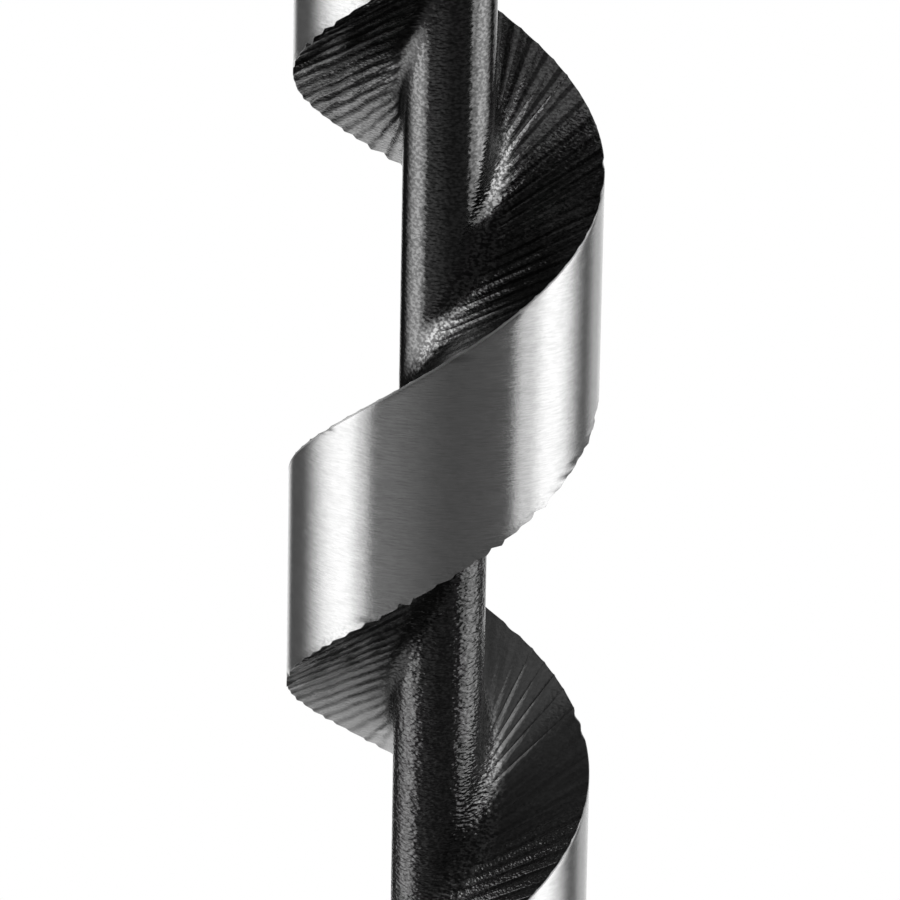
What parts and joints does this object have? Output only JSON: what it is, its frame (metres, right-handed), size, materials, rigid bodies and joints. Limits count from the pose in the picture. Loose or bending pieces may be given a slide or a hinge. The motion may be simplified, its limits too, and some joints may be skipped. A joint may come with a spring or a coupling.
{
  "type": "auger bit",
  "caption": "Solid-centre auger bit: helical flight with a ground land and milled flutes, renewable screw point, lip and spur, and a hexagon drive shank.",
  "frame": {"origin": "centre of the end face of the hexagon shank, where the chuck holds the bit", "axes": "+Z along the bit's axis, from the point out through the shank; +Y square to a flat of the hexagon"},
  "size_m": [0.02, 0.02, 0.1681],
  "materials": {
    "twist_steel": "black milled flutes and core, bright ground land",
    "cutter_steel": "hardened and ground",
    "shank_steel": "drawn hexagon bar with a dark oxide finish",
    "black_fastener": "black oxide",
    "pin_steel": "bright spring steel"
  },
  "bodies": {
    "bit": {"twist_body": "twist_steel", "lip_cutter": "cutter_steel", "lip_screw": "black_fastener", "lip_dowel": "pin_steel", "spur_cutter": "cutter_steel", "spur_screw": "black_fastener", "drive_shank": "shank_steel", "shank_cross_pin": "pin_steel"},
    "point": {"screw_point": "cutter_steel"},
    "lock": {"point_lock_screw": "black_fastener"}
  },
  "joints": [
    {"name": "point_pull", "type": "slide", "parent": "bit", "child": "point", "axis": [0, 0, -1], "range_m": [0, 0.013]},
    {"name": "lock_turn", "type": "hinge", "parent": "bit", "child": "lock", "pos_m": [0.00693, -0.004, -0.1403], "axis": [0.866, -0.5, 0], "range_deg": [0, 720]}
  ]
}
